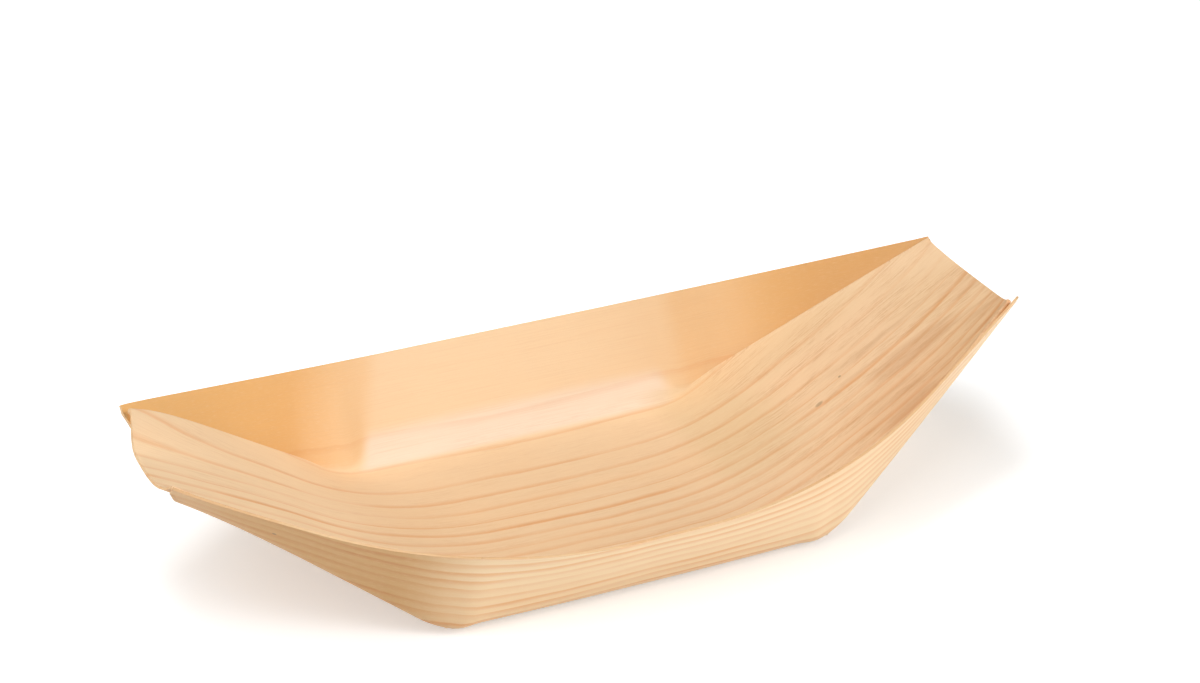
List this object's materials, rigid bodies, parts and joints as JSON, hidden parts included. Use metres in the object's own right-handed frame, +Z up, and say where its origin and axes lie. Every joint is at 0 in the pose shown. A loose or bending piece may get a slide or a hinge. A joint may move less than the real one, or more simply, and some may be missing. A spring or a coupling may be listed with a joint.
{
  "type": "snack boat",
  "caption": "Boat-shaped serving tray folded from a pine veneer sheet, with leaning walls, end ramps and glued pleated corners.",
  "frame": {"origin": "middle of the floor's underside, on the surface that the boat stands on", "axes": "+X along the boat towards its right tip, +Y towards its back wall, +Z up"},
  "size_m": [0.203, 0.104, 0.0404],
  "materials": {
    "veneer": "bare rotary-cut pine, matt to satin",
    "glue": "dried clear adhesive film"
  },
  "bodies": {
    "root": {"floor_panel": "veneer", "left_ramp": "veneer", "right_ramp": "veneer", "front_wall": "veneer", "back_wall": "veneer", "front_left_corner_wall": "veneer", "front_right_corner_wall": "veneer", "back_left_corner_wall": "veneer", "back_right_corner_wall": "veneer", "front_left_inner_leaf": "veneer", "front_right_inner_leaf": "veneer", "back_left_inner_leaf": "veneer", "back_right_inner_leaf": "veneer", "front_left_outer_leaf": "veneer", "front_right_outer_leaf": "veneer", "back_left_outer_leaf": "veneer", "back_right_outer_leaf": "veneer", "front_left_corner_glue": "glue", "front_right_corner_glue": "glue", "back_left_corner_glue": "glue", "back_right_corner_glue": "glue"}
  },
  "joints": []
}
